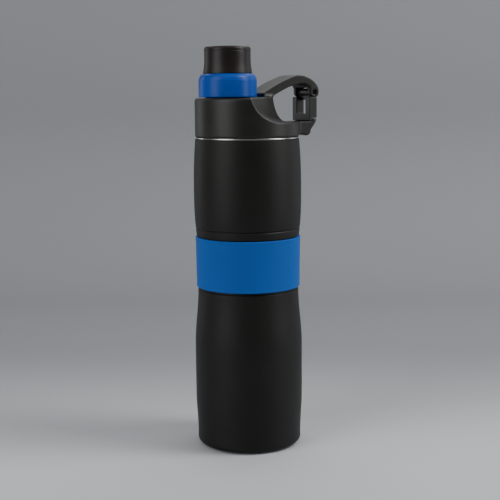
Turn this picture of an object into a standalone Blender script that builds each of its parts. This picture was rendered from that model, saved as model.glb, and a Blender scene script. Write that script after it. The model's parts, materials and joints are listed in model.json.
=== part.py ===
"""Insulated water bottle with an off-centre screw cap and a carabiner carry loop.

Frame: the bottle's axis is Z, its foot is at z = 0 and the carry loop points along +X.
The bottle is the same on both sides of the XZ plane, apart from its threads and the gate's spring.
Lengths in this file are millimetres. metres() turns them into Blender's units where a mesh is made.
"""

import math

import bmesh
import bpy

MM = 0.001

# --- bottle body ---------------------------------------------------------------------------------
UPPER_R = 36.35           # widest radius of the upper barrel
LOWER_R = 36.7            # widest radius of the lower barrel
SHELL_WALL = 0.7
SHELL_TOP = 209.1
SHELL_FOOT = 0.5          # lowest point of the painted shell, just above the base cover
FOOT_R = 35.6
FOOT_CORNER = 3.0
LIP_R = 30.8              # the shell turns in under the foot as far as this radius
UPPER_MIDDLE = 176.0      # height where the upper barrel is widest
UPPER_TOP_DEPTH = 1.4
UPPER_FOOT = 149.8
UPPER_FOOT_DEPTH = 0.95
LOWER_MIDDLE = 69.0       # height where the lower barrel starts to draw in towards the waist
LOWER_TOP = 107.2
LOWER_TOP_DEPTH = 2.4
FOOT_TAPER = (34.0, 8.0)  # heights between which the lower barrel draws in to FOOT_R
SEAT_R = 33.4             # floor of the waist seat under the grip band
SEAT = (107.8, 144.0)
BEAD_R = 35.3             # narrow ring between the band and the upper groove
GROOVE_R = 34.8
GROOVE = (148.5, 149.3)

BAND = (109.3, 143.5)
BAND_R = (35.3, 35.7)     # the band widens a little towards its top
BAND_INNER_R = 33.7

# --- inner vessel --------------------------------------------------------------------------------
SHEET = 0.6
VESSEL_R = 29.4           # inside radius of the liner
VESSEL_FLOOR = 10.0
VESSEL_CORNER = 5.4
VESSEL_SHOULDER = 182.0
NECK_R = 27.6             # inside radius of the threaded neck
NECK_SEAT_R = 26.3        # tightest point, where the lid's gasket lands
NECK_SEAT_Z = 187.5
NECK_FOOT = 191.0
RIM = (209.4, 210.3)
RIM_R = 34.7

# --- lid -----------------------------------------------------------------------------------------
LID_R = 35.0
LID_BASE = 210.6
LID_TOP = 236.3
LOOP_HALF = 12.0          # half the width of the carry loop, along Y
LOOP_FLOOR = 220.1
SCOOP_CREST = 240.0       # the scoop's cutter starts here, above the lid
SCOOP_R = 27.5            # the scoop's outer edge is this arc on the collar's side
SCOOP_CENTRE = (10.1, 247.6)
SCOOP_PLANE = 34.0        # distance from the XZ plane where that arc is drawn
HOLE_CENTRE_X = 24.0     # the loop's inner wall is a quarter ellipse about this x
HOLE_HALF_X = 10.46
PLUG_RECESS_R = 28.9
PLUG_RECESS_TOP = 217.9

# --- lid thread, a right-hand one ----------------------------------------------------------------
LID_LEAD = 4.0
THREAD_TURNS = 1.5
NECK_THREAD_Z = 201.5
LID_RIDGE = (1.5, 0.9)    # width at the root and at the crest
LID_RIDGE_HEIGHT = 1.2
PLUG_R = 25.9
PLUG_BORE_R = 24.1
PLUG_FOOT = 188.6

# --- spout and cap -------------------------------------------------------------------------------
CAP_X = -14.0             # the spout and its cap stand off the bottle's axis
SPOUT_R = 11.8
SPOUT_BORE_R = 9.6
SPOUT_FOOT = 214.6
SPOUT_TIP = 262.0
SPOUT_HOLE_R = 13.2
SPOUT_BOSS = (14.3, 238.0)  # radius and top of the raised rim round the spout
SPOUT_ROOM_R = 18.0
SPOUT_ROOM_TOP = 232.0
CAP_LEAD = 3.0
CAP_THREAD_Z = 241.0
CAP_RIDGE = (1.1, 0.6)
LINER_BORE_R = 13.3
RING_R = 19.4
RING_TOP = 252.1
CAP_FOOT = 236.8
CAP_TOP = 270.0
CAP_R = 15.45

# --- gate ----------------------------------------------------------------------------------------
PIN_X = 45.4
PIN_Z = 239.7
PIN_R = 1.25
PIN_HOLE_R = 1.55
PIN_HALF = 11.2
EAR_R = 3.6
EAR_FACE = 8.0            # half the gap between the ears
GATE_BACK_X = 41.3        # the gate's side that faces the bottle
GATE_FRONT_X = 47.0
GATE_WINDOW = 6.2         # half the width of the gap between the gate's side bars
GATE_FOOT = 222.6
GATE_HEAD = 236.5
BARREL_R = 2.5
BARREL_Y = (-7.5, 4.1)
SPRING_Y = (7.5, 4.7)    # from the leg under the arm to the leg on the gate
SPRING_WIRE_R = 0.35
SPRING_COIL_R = 2.1
SPRING_TURNS = 3

BODY_STEPS = 36
CAP_STEPS = 28
PIN_STEPS = 16


def metres(*lengths):
    """Turn millimetres into Blender's metres."""
    return tuple(length * MM for length in lengths)


# --- scene ---------------------------------------------------------------------------------------
def clear_scene():
    for obj in list(bpy.data.objects):
        bpy.data.objects.remove(obj, do_unlink=True)
    for collection in list(bpy.data.collections):
        bpy.data.collections.remove(collection)


def new_collection(name):
    collection = bpy.data.collections.new(name)
    bpy.context.scene.collection.children.link(collection)
    return collection


clear_scene()
PARTS = new_collection("insulated_bottle")
CUTTERS = new_collection("cutters")


def finish_colour(name, colour, roughness, metallic):
    material = bpy.data.materials.new(name)
    material.use_nodes = True
    shader = material.node_tree.nodes["Principled BSDF"]
    shader.inputs["Base Color"].default_value = (*colour, 1.0)
    shader.inputs["Roughness"].default_value = roughness
    shader.inputs["Metallic"].default_value = metallic
    return material


FINISHES = {
    "powder coat": ((0.013, 0.013, 0.012), 0.5, 0.0),
    "steel": ((0.55, 0.55, 0.53), 0.3, 1.0),
    "foil": ((0.72, 0.42, 0.26), 0.35, 1.0),
    "black plastic": ((0.015, 0.015, 0.014), 0.4, 0.0),
    "blue silicone": ((0.0, 0.08, 0.29), 0.6, 0.0),
    "blue plastic": ((0.0, 0.08, 0.35), 0.3, 0.0),
    "clear silicone": ((0.75, 0.75, 0.72), 0.5, 0.0),
    "getter metal": ((0.25, 0.24, 0.23), 0.6, 1.0),
}


def empty(name, x, z, parent=None):
    """A marker on a joint's axis, which the moving pieces are parented to."""
    marker = bpy.data.objects.new(name, None)
    PARTS.objects.link(marker)
    marker["place_mm"] = (x, 0.0, z)
    home = parent["place_mm"] if parent else (0.0, 0.0, 0.0)
    marker.parent = parent
    marker.location = metres(x - home[0], 0.0, z - home[2])
    return marker


LID_AXIS = empty("lid_axis", 0.0, LID_BASE)
CAP_AXIS = empty("cap_axis", CAP_X, LID_TOP, LID_AXIS)
GATE_AXIS = empty("gate_axis", PIN_X, PIN_Z, LID_AXIS)


def part(name, mesh, finish, axis=None):
    """A named piece. Its mesh is drawn about its joint axis, or about the bottle's foot."""
    obj = bpy.data.objects.new(name, mesh)
    PARTS.objects.link(obj)
    obj.parent = axis
    mesh.materials.append(finish_colour(name, *FINISHES[finish]))
    return obj


def cutter(name, mesh, x=0.0, z=0.0):
    """A helper shape that is cut out of a piece, or joined to it."""
    obj = bpy.data.objects.new(name, mesh)
    CUTTERS.objects.link(obj)
    obj.location = metres(x, 0.0, z)
    obj.hide_render = True
    obj.display_type = "WIRE"
    return obj


def boolean(obj, tool, operation):
    modifier = obj.modifiers.new(tool.name, "BOOLEAN")
    modifier.operation = operation
    modifier.solver = "EXACT"
    modifier.object = tool


# --- shapes --------------------------------------------------------------------------------------
def profile_mesh(name, points, base_z=0.0, closed=False):
    """A turned piece's half section as a chain of edges, from (radius, height) points."""
    mesh = bpy.data.meshes.new(name)
    corners = [metres(radius, 0.0, height - base_z) for radius, height in points]
    edges = [(i, i + 1) for i in range(len(corners) - 1)]
    if closed:
        edges.append((len(corners) - 1, 0))
    mesh.from_pydata(corners, edges, [])
    return mesh


def turn(obj, steps):
    """Spin the half section round the object's own Z axis."""
    screw = obj.modifiers.new("turn", "SCREW")
    screw.steps = steps
    screw.render_steps = steps
    screw.use_merge_vertices = True
    screw.merge_threshold = 0.00001
    screw.use_smooth_shade = True


def turned_part(name, points, finish, steps, axis=None, closed=False):
    base_z = axis["place_mm"][2] if axis else 0.0
    obj = part(name, profile_mesh(name, points, base_z, closed), finish, axis)
    turn(obj, steps)
    return obj


def turned_cutter(name, points, steps, x=0.0):
    obj = cutter(name, profile_mesh(name, points), x)
    turn(obj, steps)
    return obj


def arc(centre, radius, start, end, steps):
    """Points (x, z) on an arc, with its angles in degrees, both ends included."""
    points = []
    for step in range(steps + 1):
        angle = math.radians(start + (end - start) * step / steps)
        points.append((centre[0] + radius * math.cos(angle), centre[1] + radius * math.sin(angle)))
    return points


def smooth_line(points, steps):
    """A Catmull-Rom curve through the points, for the loop's long bends."""
    ends = [points[0], *points, points[-1]]
    line = []
    for a, b, c, d in zip(ends, ends[1:], ends[2:], ends[3:]):
        for step in range(steps):
            t = step / steps
            line.append(tuple(
                0.5 * (2 * q + (r - p) * t + (2 * p - 5 * q + 4 * r - s) * t ** 2
                       + (3 * q - p - 3 * r + s) * t ** 3)
                for p, q, r, s in zip(a, b, c, d)
            ))
    line.append(points[-1])
    return line


def plate_mesh(name, outline, low_y, high_y, origin=(0.0, 0.0)):
    """A flat outline in the XZ plane, pushed out along Y."""
    shape = bmesh.new()
    corners = [shape.verts.new(metres(x - origin[0], low_y, z - origin[1])) for x, z in outline]
    face = shape.faces.new(corners)
    grown = bmesh.ops.extrude_face_region(shape, geom=[face])
    moved = [item for item in grown["geom"] if isinstance(item, bmesh.types.BMVert)]
    bmesh.ops.translate(shape, verts=moved, vec=metres(0.0, high_y - low_y, 0.0))
    bmesh.ops.recalc_face_normals(shape, faces=shape.faces)
    mesh = bpy.data.meshes.new(name)
    shape.to_mesh(mesh)
    shape.free()
    return mesh


def box_outline(low_x, high_x, low_z, high_z):
    return [(low_x, low_z), (high_x, low_z), (high_x, high_z), (low_x, high_z)]


def thread_mesh(name, root_r, crest_r, start_z, lead, widths, steps):
    """A helical ridge with a tapered section, about Z."""
    root, crest = widths[0] / 2, widths[1] / 2
    section = [(root_r, -root), (crest_r, -crest), (crest_r, crest), (root_r, root)]
    ridge = bmesh.new()
    corners = [ridge.verts.new(metres(radius, 0.0, start_z + z)) for radius, z in section]
    face = ridge.faces.new(corners)
    count = round(THREAD_TURNS * steps)
    bmesh.ops.spin(
        ridge,
        geom=[face, *face.edges, *face.verts],
        cent=(0.0, 0.0, 0.0),
        axis=(0.0, 0.0, 1.0),
        dvec=metres(0.0, 0.0, lead / steps),
        angle=math.tau * THREAD_TURNS,
        steps=count,
    )
    bmesh.ops.recalc_face_normals(ridge, faces=ridge.faces)
    mesh = bpy.data.meshes.new(name)
    ridge.to_mesh(mesh)
    ridge.free()
    return mesh


def rod_mesh(name, radius, low_y, high_y, steps):
    """A cylinder along Y, drawn about the gate's pin."""
    rod = bmesh.new()
    bmesh.ops.create_cone(
        rod,
        cap_ends=True,
        segments=steps,
        radius1=radius * MM,
        radius2=radius * MM,
        depth=(high_y - low_y) * MM,
    )
    for vert in rod.verts:
        vert.co = (vert.co.x, vert.co.z + (low_y + high_y) / 2 * MM, -vert.co.y)
    mesh = bpy.data.meshes.new(name)
    rod.to_mesh(mesh)
    rod.free()
    mesh.shade_smooth()
    mesh.set_sharp_from_angle(angle=math.radians(40))
    return mesh


# --- bottle --------------------------------------------------------------------------------------
def smooth_step(t):
    t = min(max(t, 0.0), 1.0)
    return t * t * (3.0 - 2.0 * t)


def upper_radius(z):
    """Radius of the shell's upper barrel."""
    if z > UPPER_MIDDLE:
        return UPPER_R - UPPER_TOP_DEPTH * ((z - UPPER_MIDDLE) / (SHELL_TOP - UPPER_MIDDLE)) ** 2.2
    return UPPER_R - UPPER_FOOT_DEPTH * ((UPPER_MIDDLE - z) / (UPPER_MIDDLE - UPPER_FOOT)) ** 3


def lower_radius(z):
    """Radius of the shell's lower barrel."""
    if z > LOWER_MIDDLE:
        return LOWER_R - LOWER_TOP_DEPTH * smooth_step((z - LOWER_MIDDLE) / (LOWER_TOP - LOWER_MIDDLE))
    top, low = FOOT_TAPER
    return LOWER_R - (LOWER_R - FOOT_R) * smooth_step((top - z) / (top - low))


def shell_outer_side():
    """The shell's outside from its top edge down to the lip under its foot."""
    upper = [(upper_radius(z), z) for z in (SHELL_TOP, 203.0, 196.0, 188.0, UPPER_MIDDLE, 164.0, 156.0, UPPER_FOOT)]
    waist = [
        (GROOVE_R, GROOVE[1]),
        (GROOVE_R, GROOVE[0]),
        (BEAD_R, GROOVE[0] - 0.6),
        (BEAD_R, SEAT[1] + 0.3),
        (SEAT_R, SEAT[1]),
        (SEAT_R, SEAT[0]),
        (lower_radius(LOWER_TOP) - 0.3, LOWER_TOP + 0.3),
    ]
    lower = [(lower_radius(z), z) for z in (LOWER_TOP, 100.0, 94.0, 88.0, 82.0, 76.0, LOWER_MIDDLE,
                                            34.0, 26.0, 18.0, 10.0)]
    corner = arc((FOOT_R - FOOT_CORNER, SHELL_FOOT + FOOT_CORNER), FOOT_CORNER, 0.0, -90.0, 5)
    return upper + waist + lower + corner + [(LIP_R, SHELL_FOOT)]


def shell_inner_side():
    """The shell's inside, back up from the lip to the top edge."""
    corner_r = FOOT_CORNER - SHELL_WALL
    corner = arc((FOOT_R - FOOT_CORNER, SHELL_FOOT + FOOT_CORNER), corner_r, -90.0, 0.0, 4)
    lower = [(lower_radius(z) - SHELL_WALL, z) for z in (13.0, 34.0, LOWER_MIDDLE, 82.0, 94.0)]
    waist = [
        (SEAT_R - SHELL_WALL, SEAT[0]),
        (SEAT_R - SHELL_WALL, SEAT[1] + SHELL_WALL),
        (GROOVE_R - SHELL_WALL, SEAT[1] + SHELL_WALL + 0.4),
        (GROOVE_R - SHELL_WALL, UPPER_FOOT),
    ]
    upper = [(upper_radius(z) - SHELL_WALL, z) for z in (158.0, UPPER_MIDDLE, 194.0, SHELL_TOP)]
    return [(LIP_R, SHELL_FOOT + SHELL_WALL)] + corner + lower + waist + upper


def make_outer_shell():
    profile = shell_outer_side() + shell_inner_side()
    turned_part("outer_shell", profile, "powder coat", BODY_STEPS, closed=True)


def make_grip_band():
    low, high = BAND
    low_r, high_r = BAND_R
    edge = 0.35
    profile = [
        (BAND_INNER_R, high),
        (high_r - edge, high),
        (high_r, high - edge),
        (low_r, low + edge),
        (low_r - edge, low),
        (BAND_INNER_R, low),
    ]
    turned_part("grip_band", profile, "blue silicone", BODY_STEPS, closed=True)


def make_inner_vessel():
    corner_centre = (VESSEL_R - VESSEL_CORNER, VESSEL_FLOOR + VESSEL_CORNER)
    inside = [
        (0.0, VESSEL_FLOOR),
        *arc(corner_centre, VESSEL_CORNER, -90.0, 0.0, 4),
        (VESSEL_R, VESSEL_SHOULDER),
        (NECK_SEAT_R, NECK_SEAT_Z),
        (NECK_R, NECK_FOOT),
        (NECK_R, RIM[1] - 0.5),
        (NECK_R + 0.5, RIM[1]),
    ]
    outside = [
        (RIM_R, RIM[1]),
        (RIM_R, RIM[0]),
        (NECK_R + SHEET + 0.6, RIM[0]),
        (NECK_R + SHEET, RIM[0] - 0.6),
        (NECK_R + SHEET, NECK_FOOT - 0.2),
        (NECK_SEAT_R + SHEET, NECK_SEAT_Z),
        (VESSEL_R + SHEET, VESSEL_SHOULDER + 0.3),
        *arc(corner_centre, VESSEL_CORNER + SHEET, 0.0, -90.0, 4),
        (0.0, VESSEL_FLOOR - SHEET),
    ]
    vessel = turned_part("inner_vessel", inside + outside, "steel", BODY_STEPS)
    ridge = thread_mesh("neck_thread", NECK_R + 0.3, NECK_R - LID_RIDGE_HEIGHT,
                        NECK_THREAD_Z, LID_LEAD, LID_RIDGE, BODY_STEPS)
    boolean(vessel, cutter("neck_thread", ridge), "UNION")


def make_radiation_foil():
    inner = VESSEL_R + SHEET + 0.4
    outer = inner + 0.2
    profile = [(outer, 178.0), (outer, 18.0), (inner, 18.0), (inner, 178.0)]
    turned_part("radiation_foil", profile, "foil", BODY_STEPS, closed=True)


def make_outer_base():
    rim_r = FOOT_R - SHELL_WALL - 0.3
    rim_top = 13.0
    floor = 4.9
    wall = SHELL_WALL
    profile = [
        (1.0, floor + 1.5 + wall),
        (4.4, floor + 1.5 + wall),
        (8.4, floor + wall),
        (rim_r - 3.0, floor + wall),
        (rim_r - wall, floor + 3.0),
        (rim_r - wall, rim_top),
        (rim_r, rim_top),
        (rim_r, floor + 2.7),
        (rim_r - 2.7, floor),
        (8.0, floor),
        (4.0, floor + 1.5),
        (1.0, floor + 1.5),
    ]
    turned_part("outer_base", profile, "steel", BODY_STEPS, closed=True)


def make_vacuum_seal():
    profile = [(0.0, 6.1), (1.8, 6.1), (2.6, 5.4), (2.0, 4.7), (0.0, 4.5)]
    turned_part("vacuum_seal", profile, "getter metal", PIN_STEPS)


def make_getter():
    radius = 4.5
    low = 5.9
    pellet = turned_part(
        "getter",
        [(0.0, low + 1.5), (radius - 0.4, low + 1.5), (radius, low + 1.1), (radius, low), (0.0, low)],
        "getter metal",
        PIN_STEPS,
    )
    pellet.location = metres(-18.0, 0.0, 0.0)


def make_base_cover():
    radius = LIP_R - 0.4
    plate = 1.0
    rim_top = 3.2
    profile = [
        (0.0, plate),
        (radius - plate, plate),
        (radius - plate, rim_top),
        (radius, rim_top),
        (radius, 0.6),
        (radius - 0.6, 0.0),
        (0.0, 0.0),
    ]
    turned_part("base_cover", profile, "steel", BODY_STEPS)


# --- lid -----------------------------------------------------------------------------------------
def collar_profile():
    edge = 1.8
    corner = arc((LID_R - edge, LID_TOP - edge), edge, 90.0, 0.0, 3)
    return [(0.0, LID_TOP), *corner, (LID_R, LID_BASE + 0.4), (LID_R - 0.4, LID_BASE), (0.0, LID_BASE)]


def scoop_sections():
    """Matching outlines of the scoop: in the loop's side face, and on the collar's side."""
    steps = 9
    start = math.asin((SCOOP_CENTRE[1] - SCOOP_CREST) / SCOOP_R)
    inner = []
    outer = []
    for step in range(steps + 1):
        angle = math.pi / 2 * step / steps
        inner.append((
            HOLE_CENTRE_X - HOLE_HALF_X * math.cos(angle),
            SCOOP_CREST - (SCOOP_CREST - LOOP_FLOOR) * math.sin(angle),
        ))
        swing = start + (math.pi / 2 - start) * step / steps
        outer.append((
            SCOOP_CENTRE[0] - SCOOP_R * math.cos(swing),
            SCOOP_CENTRE[1] - SCOOP_R * math.sin(swing),
        ))
    beyond = [(50.0, LOOP_FLOOR), (50.0, SCOOP_CREST)]
    return inner + beyond, outer + beyond


def make_scoop_cutter():
    """Cuts both scooped sides and the loop's inner wall: a loft through four outlines."""
    inner, outer = scoop_sections()
    reach = 40.0
    stretch = (reach - LOOP_HALF) / (SCOOP_PLANE - LOOP_HALF)
    wide = [(a[0] + (b[0] - a[0]) * stretch, a[1] + (b[1] - a[1]) * stretch) for a, b in zip(inner, outer)]
    shape = bmesh.new()
    rings = []
    for y, outline in ((-reach, wide), (-LOOP_HALF, inner), (LOOP_HALF, inner), (reach, wide)):
        rings.append([shape.verts.new(metres(x, y, z)) for x, z in outline])
    for near, far in zip(rings, rings[1:]):
        for i in range(len(near)):
            after = (i + 1) % len(near)
            shape.faces.new((near[i], near[after], far[after], far[i]))
    shape.faces.new(rings[0])
    shape.faces.new(rings[-1])
    bmesh.ops.recalc_face_normals(shape, faces=shape.faces)
    mesh = bpy.data.meshes.new("scoops")
    shape.to_mesh(mesh)
    shape.free()
    return cutter("scoops", mesh)


def upper_arm_outline():
    """The upper arm from the collar, over the loop and down to the two ears."""
    top = smooth_line([(6.3, 239.0), (16.8, 244.9), (28.2, 249.8), (35.0, 251.2), (42.3, 248.8),
                       (47.2, 244.8), (PIN_X + EAR_R - 0.1, 241.2)], 4)
    ear = arc((PIN_X, PIN_Z), EAR_R, 0.0, -180.0, 7)
    under = smooth_line([(41.8, 242.0), (40.6, 244.1), (35.8, 245.4), (27.3, 243.6), (18.9, 239.9),
                         (14.7, 237.8)], 3)
    root = [(13.2, 235.4), (6.3, 235.4)]
    return top + ear + under + root


def lower_arm_outline():
    """The lower arm, with the nose that stops the gate and the rounded toe under it."""
    toe = arc((39.4, 213.8), 3.2, 10.0, -90.0, 5)
    return [
        (30.0, LOOP_FLOOR),
        (43.4, LOOP_FLOOR),
        (43.5, 222.2),
        (46.5, 222.2),
        (46.9, 221.8),
        (46.7, 220.4),
        (45.9, 218.9),
        (44.4, 216.9),
        *toe,
        (36.0, 211.5),
        (30.0, 211.5),
    ]


def make_upper_arm():
    """The upper arm with the fork that holds the gate, ready to be joined to the collar."""
    arm = cutter("upper_arm", plate_mesh("upper_arm", upper_arm_outline(), -LOOP_HALF, LOOP_HALF))
    fork = plate_mesh("fork", box_outline(39.6, 50.0, 234.0, 242.6), -EAR_FACE, EAR_FACE)
    boolean(arm, cutter("fork", fork), "DIFFERENCE")
    hole = rod_mesh("pin_hole", PIN_HOLE_R, -15.0, 15.0, PIN_STEPS)
    boolean(arm, cutter("pin_hole", hole, PIN_X, PIN_Z), "DIFFERENCE")
    return arm


def make_spout_room():
    """Cuts the hollow under the lid's roof and the hole that the spout stands in."""
    profile = [
        (0.0, 240.0),
        (SPOUT_HOLE_R, 240.0),
        (SPOUT_HOLE_R, SPOUT_ROOM_TOP),
        (SPOUT_ROOM_R, SPOUT_ROOM_TOP),
        (SPOUT_ROOM_R, 216.0),
        (0.0, 216.0),
    ]
    return turned_cutter("spout_room", profile, CAP_STEPS, CAP_X)


def make_spout_boss():
    radius, top = SPOUT_BOSS
    foot = LID_TOP - 1.0
    return turned_cutter("spout_boss", [(0.0, top), (radius, top), (radius, foot), (0.0, foot)], CAP_STEPS, CAP_X)


def make_plug_recess():
    top = PLUG_RECESS_TOP
    profile = [(0.0, top), (PLUG_RECESS_R, top), (PLUG_RECESS_R, 205.0), (0.0, 205.0)]
    return turned_cutter("plug_recess", profile, BODY_STEPS)


def make_lid_body():
    """The collar with its scoops, the loop's two arms and the hollows for the plug and the spout."""
    lid = turned_part("lid_body", collar_profile(), "black plastic", BODY_STEPS, LID_AXIS)
    lower = plate_mesh("lower_arm", lower_arm_outline(), -LOOP_HALF, LOOP_HALF)
    boolean(lid, make_scoop_cutter(), "DIFFERENCE")
    boolean(lid, cutter("lower_arm", lower), "UNION")
    boolean(lid, make_upper_arm(), "UNION")
    boolean(lid, make_spout_boss(), "UNION")
    boolean(lid, make_plug_recess(), "DIFFERENCE")
    boolean(lid, make_spout_room(), "DIFFERENCE")


def make_lid_plug():
    """The threaded liner: a flange under the lid's roof, a tube down the neck and a gasket groove."""
    flange_r = PLUG_RECESS_R - 0.3
    flange = (210.9, 214.3)
    roof = 212.3
    groove_r = 24.75
    profile = [
        (0.0, flange[1]),
        (flange_r, flange[1]),
        (flange_r, flange[0]),
        (PLUG_R, flange[0]),
        (PLUG_R, 192.8),
        (groove_r, 192.8),
        (groove_r, 189.9),
        (PLUG_R - 0.2, 189.9),
        (PLUG_R - 0.2, PLUG_FOOT + 0.4),
        (PLUG_R - 0.6, PLUG_FOOT),
        (23.5, PLUG_FOOT),
        (23.5, 194.0),
        (PLUG_BORE_R, 195.0),
        (PLUG_BORE_R, roof),
        (0.0, roof),
    ]
    plug = turned_part("lid_plug", profile, "black plastic", BODY_STEPS, LID_AXIS)
    ridge = thread_mesh("plug_thread", PLUG_R - 0.3, PLUG_R + LID_RIDGE_HEIGHT,
                        NECK_THREAD_Z - LID_LEAD / 2, LID_LEAD, LID_RIDGE, BODY_STEPS)
    boolean(plug, cutter("plug_thread", ridge), "UNION")
    port = [(0.0, 220.0), (SPOUT_BORE_R, 220.0), (SPOUT_BORE_R, 208.0), (0.0, 208.0)]
    boolean(plug, turned_cutter("spout_port", port, CAP_STEPS, CAP_X), "DIFFERENCE")


def make_lid_gasket():
    profile = [(25.05, 192.4), (27.1, 192.4), (27.2, 191.7), (26.7, 190.3), (25.05, 190.3)]
    turned_part("lid_gasket", profile, "clear silicone", BODY_STEPS, LID_AXIS, closed=True)


def make_spout():
    flange = (229.0, 230.4)
    lip = 0.5
    profile = [
        (SPOUT_BORE_R + lip, SPOUT_TIP),
        (SPOUT_R - lip, SPOUT_TIP),
        (SPOUT_R, SPOUT_TIP - lip),
        (SPOUT_R, flange[1]),
        (SPOUT_ROOM_R - 0.5, flange[1]),
        (SPOUT_ROOM_R - 0.5, flange[0]),
        (SPOUT_R, flange[0]),
        (SPOUT_R, SPOUT_FOOT),
        (SPOUT_BORE_R, SPOUT_FOOT),
        (SPOUT_BORE_R, SPOUT_TIP - lip),
    ]
    spout = turned_part("spout", profile, "black plastic", CAP_STEPS, CAP_AXIS, closed=True)
    ridge = thread_mesh("spout_thread", SPOUT_R - 0.3, SPOUT_R + 1.1,
                        CAP_THREAD_Z, CAP_LEAD, CAP_RIDGE, CAP_STEPS)
    boolean(spout, cutter("spout_thread", ridge, CAP_X), "UNION")


def make_spout_gasket():
    inner = SPOUT_R + 0.4
    outer = SPOUT_ROOM_R - 1.0
    profile = [(outer, 231.6), (outer, 230.7), (inner, 230.7), (inner, 231.6)]
    turned_part("spout_gasket", profile, "clear silicone", CAP_STEPS, CAP_AXIS, closed=True)


# --- cap -----------------------------------------------------------------------------------------
def make_cap_shell():
    """The black outer cap: a waisted knob whose lower sleeve stands inside the blue ring."""
    edge = 1.3
    sleeve_r = 15.6
    knob = [
        (0.0, CAP_TOP),
        *arc((CAP_R - edge, CAP_TOP - edge), edge, 90.0, 0.0, 3),
        (CAP_R, 267.1),
        (CAP_R - 0.2, 266.8),
        (CAP_R, 266.5),
        (CAP_R, 260.0),
        (CAP_R + 0.15, 257.5),
        (CAP_R + 0.5, 255.0),
        (CAP_R + 0.95, RING_TOP + 0.3),
    ]
    sleeve = [
        (sleeve_r, RING_TOP + 0.3),
        (sleeve_r, CAP_FOOT),
        (sleeve_r - 0.9, CAP_FOOT),
        (sleeve_r - 0.9, CAP_TOP - 1.7),
        (0.0, CAP_TOP - 1.7),
    ]
    turned_part("cap_shell", knob + sleeve, "black plastic", CAP_STEPS, CAP_AXIS)


def make_cap_ring():
    inner = 15.9
    profile = [
        (inner, RING_TOP),
        (16.5, RING_TOP),
        (17.8, RING_TOP - 0.8),
        (18.7, RING_TOP - 2.1),
        (19.2, RING_TOP - 3.5),
        (RING_R, RING_TOP - 4.5),
        (RING_R, CAP_FOOT + 0.5),
        (RING_R - 0.5, CAP_FOOT),
        (inner, CAP_FOOT),
    ]
    turned_part("cap_ring", profile, "blue plastic", CAP_STEPS, CAP_AXIS, closed=True)


def make_cap_liner():
    outer = 14.3
    top = (264.2, 265.4)
    foot = 238.4
    profile = [
        (0.0, top[1]),
        (outer, top[1]),
        (outer, foot),
        (LINER_BORE_R, foot),
        (LINER_BORE_R, top[0]),
        (0.0, top[0]),
    ]
    liner = turned_part("cap_liner", profile, "black plastic", CAP_STEPS, CAP_AXIS)
    ridge = thread_mesh("liner_thread", LINER_BORE_R + 0.3, LINER_BORE_R - 1.0,
                        CAP_THREAD_Z - CAP_LEAD / 2, CAP_LEAD, CAP_RIDGE, CAP_STEPS)
    boolean(liner, cutter("liner_thread", ridge, CAP_X), "UNION")


def make_cap_seal():
    profile = [(12.9, 263.9), (12.9, 262.3), (9.8, 262.3), (9.8, 263.9)]
    turned_part("cap_seal", profile, "clear silicone", CAP_STEPS, CAP_AXIS, closed=True)


# --- gate ----------------------------------------------------------------------------------------
def pin_box(name, xs, ys, zs):
    """A block given by its x, y and z ranges, drawn about the pin."""
    return plate_mesh(name, box_outline(*xs, *zs), *ys, origin=(PIN_X, PIN_Z))


def make_gate():
    """Two side bars joined by a foot and a cross bar, with a hinge barrel on its web."""
    full = (-LOOP_HALF, LOOP_HALF)
    mesh = pin_box("gate", (GATE_BACK_X, GATE_FRONT_X), full, (GATE_FOOT, GATE_HEAD))
    gate = part("gate", mesh, "black plastic", GATE_AXIS)

    window = pin_box("gate_window", (40.0, 50.0), (-GATE_WINDOW, GATE_WINDOW), (225.2, 240.0))
    boolean(gate, cutter("gate_window", window, PIN_X, PIN_Z), "DIFFERENCE")
    tongue = pin_box("gate_tongue", (GATE_BACK_X, 43.2), full, (220.5, GATE_FOOT + 0.5))
    boolean(gate, cutter("gate_tongue", tongue, PIN_X, PIN_Z), "UNION")
    ear_room = rod_mesh("ear_room", EAR_R + 0.3, -15.0, 15.0, PIN_STEPS)
    boolean(gate, cutter("ear_room", ear_room, PIN_X, PIN_Z), "DIFFERENCE")
    cross = (-GATE_WINDOW - 1.0, GATE_WINDOW + 1.0)
    cross_bar = pin_box("gate_cross_bar", (44.2, 46.2), cross, (234.4, 236.9))
    boolean(gate, cutter("gate_cross_bar", cross_bar, PIN_X, PIN_Z), "UNION")
    web = pin_box("gate_web", (44.4, 46.2), BARREL_Y, (234.8, PIN_Z))
    boolean(gate, cutter("gate_web", web, PIN_X, PIN_Z), "UNION")
    barrel = rod_mesh("gate_barrel", BARREL_R, *BARREL_Y, PIN_STEPS)
    boolean(gate, cutter("gate_barrel", barrel, PIN_X, PIN_Z), "UNION")
    bore = rod_mesh("gate_bore", PIN_HOLE_R, -15.0, 15.0, PIN_STEPS)
    boolean(gate, cutter("gate_bore", bore, PIN_X, PIN_Z), "DIFFERENCE")


def make_gate_pin():
    part("gate_pin", rod_mesh("gate_pin", PIN_R, -PIN_HALF, PIN_HALF, PIN_STEPS), "steel", GATE_AXIS)


def spring_points():
    """A leg up to the arm, the coil round the pin, and a leg down behind the gate's cross bar."""
    steps = 12
    first_y, last_y = SPRING_Y
    points = [(-SPRING_COIL_R, first_y, 2.2)]
    for step in range(SPRING_TURNS * steps + 1):
        angle = math.pi + math.tau * step / steps
        y = first_y + (last_y - first_y) * step / (SPRING_TURNS * steps)
        points.append((SPRING_COIL_R * math.cos(angle), y, SPRING_COIL_R * math.sin(angle)))
    points.append((-SPRING_COIL_R + 0.1, last_y, -3.0))
    points.append((-SPRING_COIL_R + 0.2, last_y, -4.6))
    return points


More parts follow.
